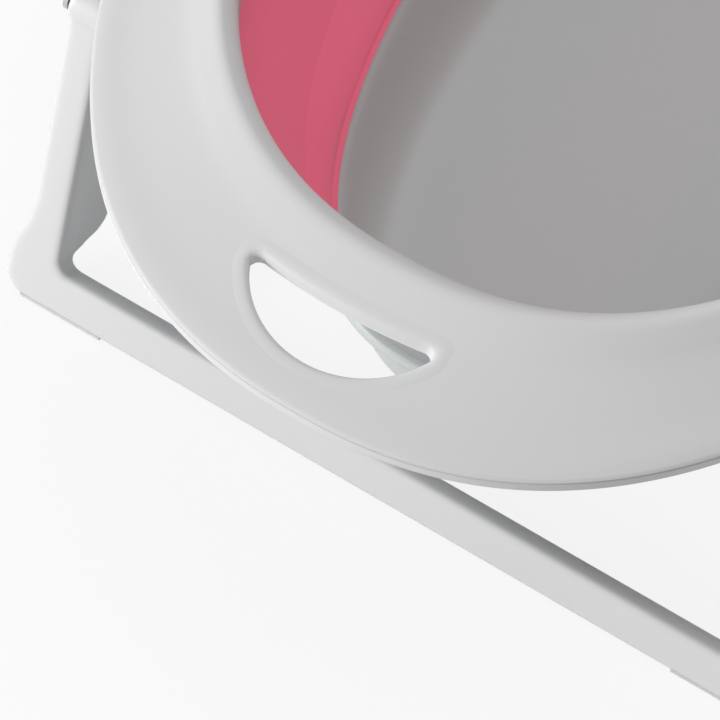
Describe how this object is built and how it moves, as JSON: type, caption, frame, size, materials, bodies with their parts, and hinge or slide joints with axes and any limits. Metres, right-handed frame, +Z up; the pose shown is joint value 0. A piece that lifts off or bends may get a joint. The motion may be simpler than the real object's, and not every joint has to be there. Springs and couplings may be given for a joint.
{
  "type": "folding baby bathtub",
  "caption": "Oval folding baby bathtub: wide rim with carry slots, soft folding wall, hard tray with drain plug, and fold-in leg frames.",
  "frame": {"origin": "on the floor, under the middle of the tub, with the legs open and the tray down", "axes": "+Y along the tub's length, towards the drain end; +X across it; +Z up"},
  "size_m": [0.49, 0.82, 0.2125],
  "materials": {
    "rim_plastic": "satin",
    "tray_plastic": "satin",
    "soft_pink": "soft matte",
    "plug_pink": "satin",
    "seal_rubber": "matte",
    "pin_steel": "brushed",
    "pad_rubber": "matte"
  },
  "bodies": {
    "frame": {"rim": "rim_plastic", "collar": "tray_plastic", "wall": "soft_pink", "bracket_near_left": "rim_plastic", "bracket_near_right": "rim_plastic", "bracket_far_left": "rim_plastic", "bracket_far_right": "rim_plastic", "pin_near_left": "pin_steel", "pin_near_right": "pin_steel", "pin_far_left": "pin_steel", "pin_far_right": "pin_steel", "bracket_screws": "pin_steel"},
    "tray_body": {"tray": "tray_plastic", "tray_ring": "tray_plastic", "drain_seat": "tray_plastic", "drain_screws": "pin_steel"},
    "plug_body": {"plug": "plug_pink", "plug_seal": "seal_rubber", "plug_pull": "plug_pink"},
    "leg_near_body": {"leg_near": "rim_plastic", "foot_near_left": "pad_rubber", "foot_near_right": "pad_rubber"},
    "leg_far_body": {"leg_far": "rim_plastic", "foot_far_left": "pad_rubber", "foot_far_right": "pad_rubber"}
  },
  "joints": [
    {"name": "tray_lift", "type": "slide", "parent": "frame", "child": "tray_body", "axis": [0, 0, 1], "range_m": [0, 0.066], "deforming": ["wall"]},
    {"name": "leg_near_fold", "type": "hinge", "parent": "frame", "child": "leg_near_body", "pos_m": [0, -0.27, 0.178], "axis": [1, 0, 0], "range_deg": [0, 64]},
    {"name": "leg_far_fold", "type": "hinge", "parent": "frame", "child": "leg_far_body", "pos_m": [0, 0.27, 0.178], "axis": [-1, 0, 0], "range_deg": [0, 64]},
    {"name": "plug_lift", "type": "slide", "parent": "tray_body", "child": "plug_body", "axis": [0, 0, 1], "range_m": [0, 0.06]}
  ],
  "couplings": [
    {"joint": "leg_near_fold", "follows": "tray_lift", "rad_per_m": 16.9},
    {"joint": "leg_far_fold", "follows": "tray_lift", "rad_per_m": 16.9}
  ]
}
